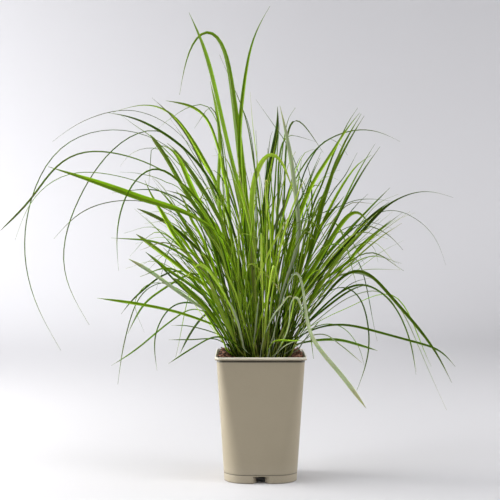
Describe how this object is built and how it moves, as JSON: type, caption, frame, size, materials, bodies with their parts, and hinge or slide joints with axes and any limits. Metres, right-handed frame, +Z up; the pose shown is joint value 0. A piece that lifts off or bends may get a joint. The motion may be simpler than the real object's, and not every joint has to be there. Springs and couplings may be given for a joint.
{
  "type": "potted ornamental grass",
  "caption": "Clump of long arching grass leaves growing from soil in a tapered square nursery pot with a rim band and drain notches.",
  "frame": {"origin": "middle of the pot's foot, on the surface that the pot stands on", "axes": "+Z up, -Y towards the clump's front, +X to its right as seen from the front"},
  "size_m": [0.9406, 0.7784, 0.947],
  "materials": {
    "pot_plastic": "satin moulded taupe plastic",
    "potting_soil": "loose dark peat with bark chips",
    "leaf_green": "satin leaf with fine lengthwise veins",
    "leaf_dark": "satin leaf with fine lengthwise veins",
    "leaf_pale": "satin leaf with a pale bloom"
  },
  "bodies": {
    "root": {"pot": "pot_plastic", "soil": "potting_soil", "leaf_tall_left": "leaf_green", "leaf_tall_left_second": "leaf_green", "leaf_tall_middle": "leaf_green", "leaf_tall_right": "leaf_green", "leaf_tall_thin": "leaf_dark", "leaf_high_arch_left": "leaf_green", "leaf_left_long_hanging": "leaf_dark", "leaf_left_wide": "leaf_green", "leaf_left_farthest": "leaf_green", "leaf_left_far_low": "leaf_dark", "leaf_left_thread": "leaf_dark", "leaf_left_high_thread": "leaf_dark", "leaf_left_upper_arch": "leaf_dark", "leaf_left_upper_tip": "leaf_green", "leaf_left_upper_bow": "leaf_green", "leaf_left_upright": "leaf_green", "leaf_left_bowed": "leaf_dark", "leaf_left_outer_droop": "leaf_dark", "leaf_left_middle_blade": "leaf_dark", "leaf_left_middle_arch": "leaf_dark", "leaf_left_spread_blade": "leaf_green", "leaf_left_low_tip": "leaf_dark", "leaf_left_low_blade": "leaf_pale", "leaf_left_low_bow": "leaf_dark", "leaf_left_level": "leaf_green", "leaf_left_low_droop": "leaf_dark", "leaf_left_hook": "leaf_dark", "leaf_left_lowest": "leaf_dark", "leaf_left_lowest_thread": "leaf_pale", "leaf_left_short": "leaf_dark", "leaf_left_short_droop": "leaf_dark", "leaf_top_sharp": "leaf_green", "leaf_top_pale": "leaf_pale", "leaf_top_crest": "leaf_green", "leaf_top_fine_arch": "leaf_dark", "leaf_right_tall_blade": "leaf_green", "leaf_right_tall_edge": "leaf_green", "leaf_right_upper_arch": "leaf_dark", "leaf_right_slender": "leaf_dark", "leaf_right_folded": "leaf_green", "leaf_right_long_arch": "leaf_dark", "leaf_right_fine_blade": "leaf_dark", "leaf_right_thread": "leaf_pale", "leaf_right_bow": "leaf_dark", "leaf_right_big_arch": "leaf_dark", "leaf_right_low_arch": "leaf_dark", "leaf_right_long_droop": "leaf_pale", "leaf_right_level": "leaf_dark", "leaf_right_lowest": "leaf_green", "leaf_front_pale": "leaf_pale", "leaf_right_hook": "leaf_dark", "tuft_middle": "leaf_green", "tuft_front": "leaf_green", "tuft_back": "leaf_green", "tuft_left": "leaf_green", "tuft_right": "leaf_green", "tuft_front_left": "leaf_green", "tuft_back_right": "leaf_green"}
  },
  "joints": []
}
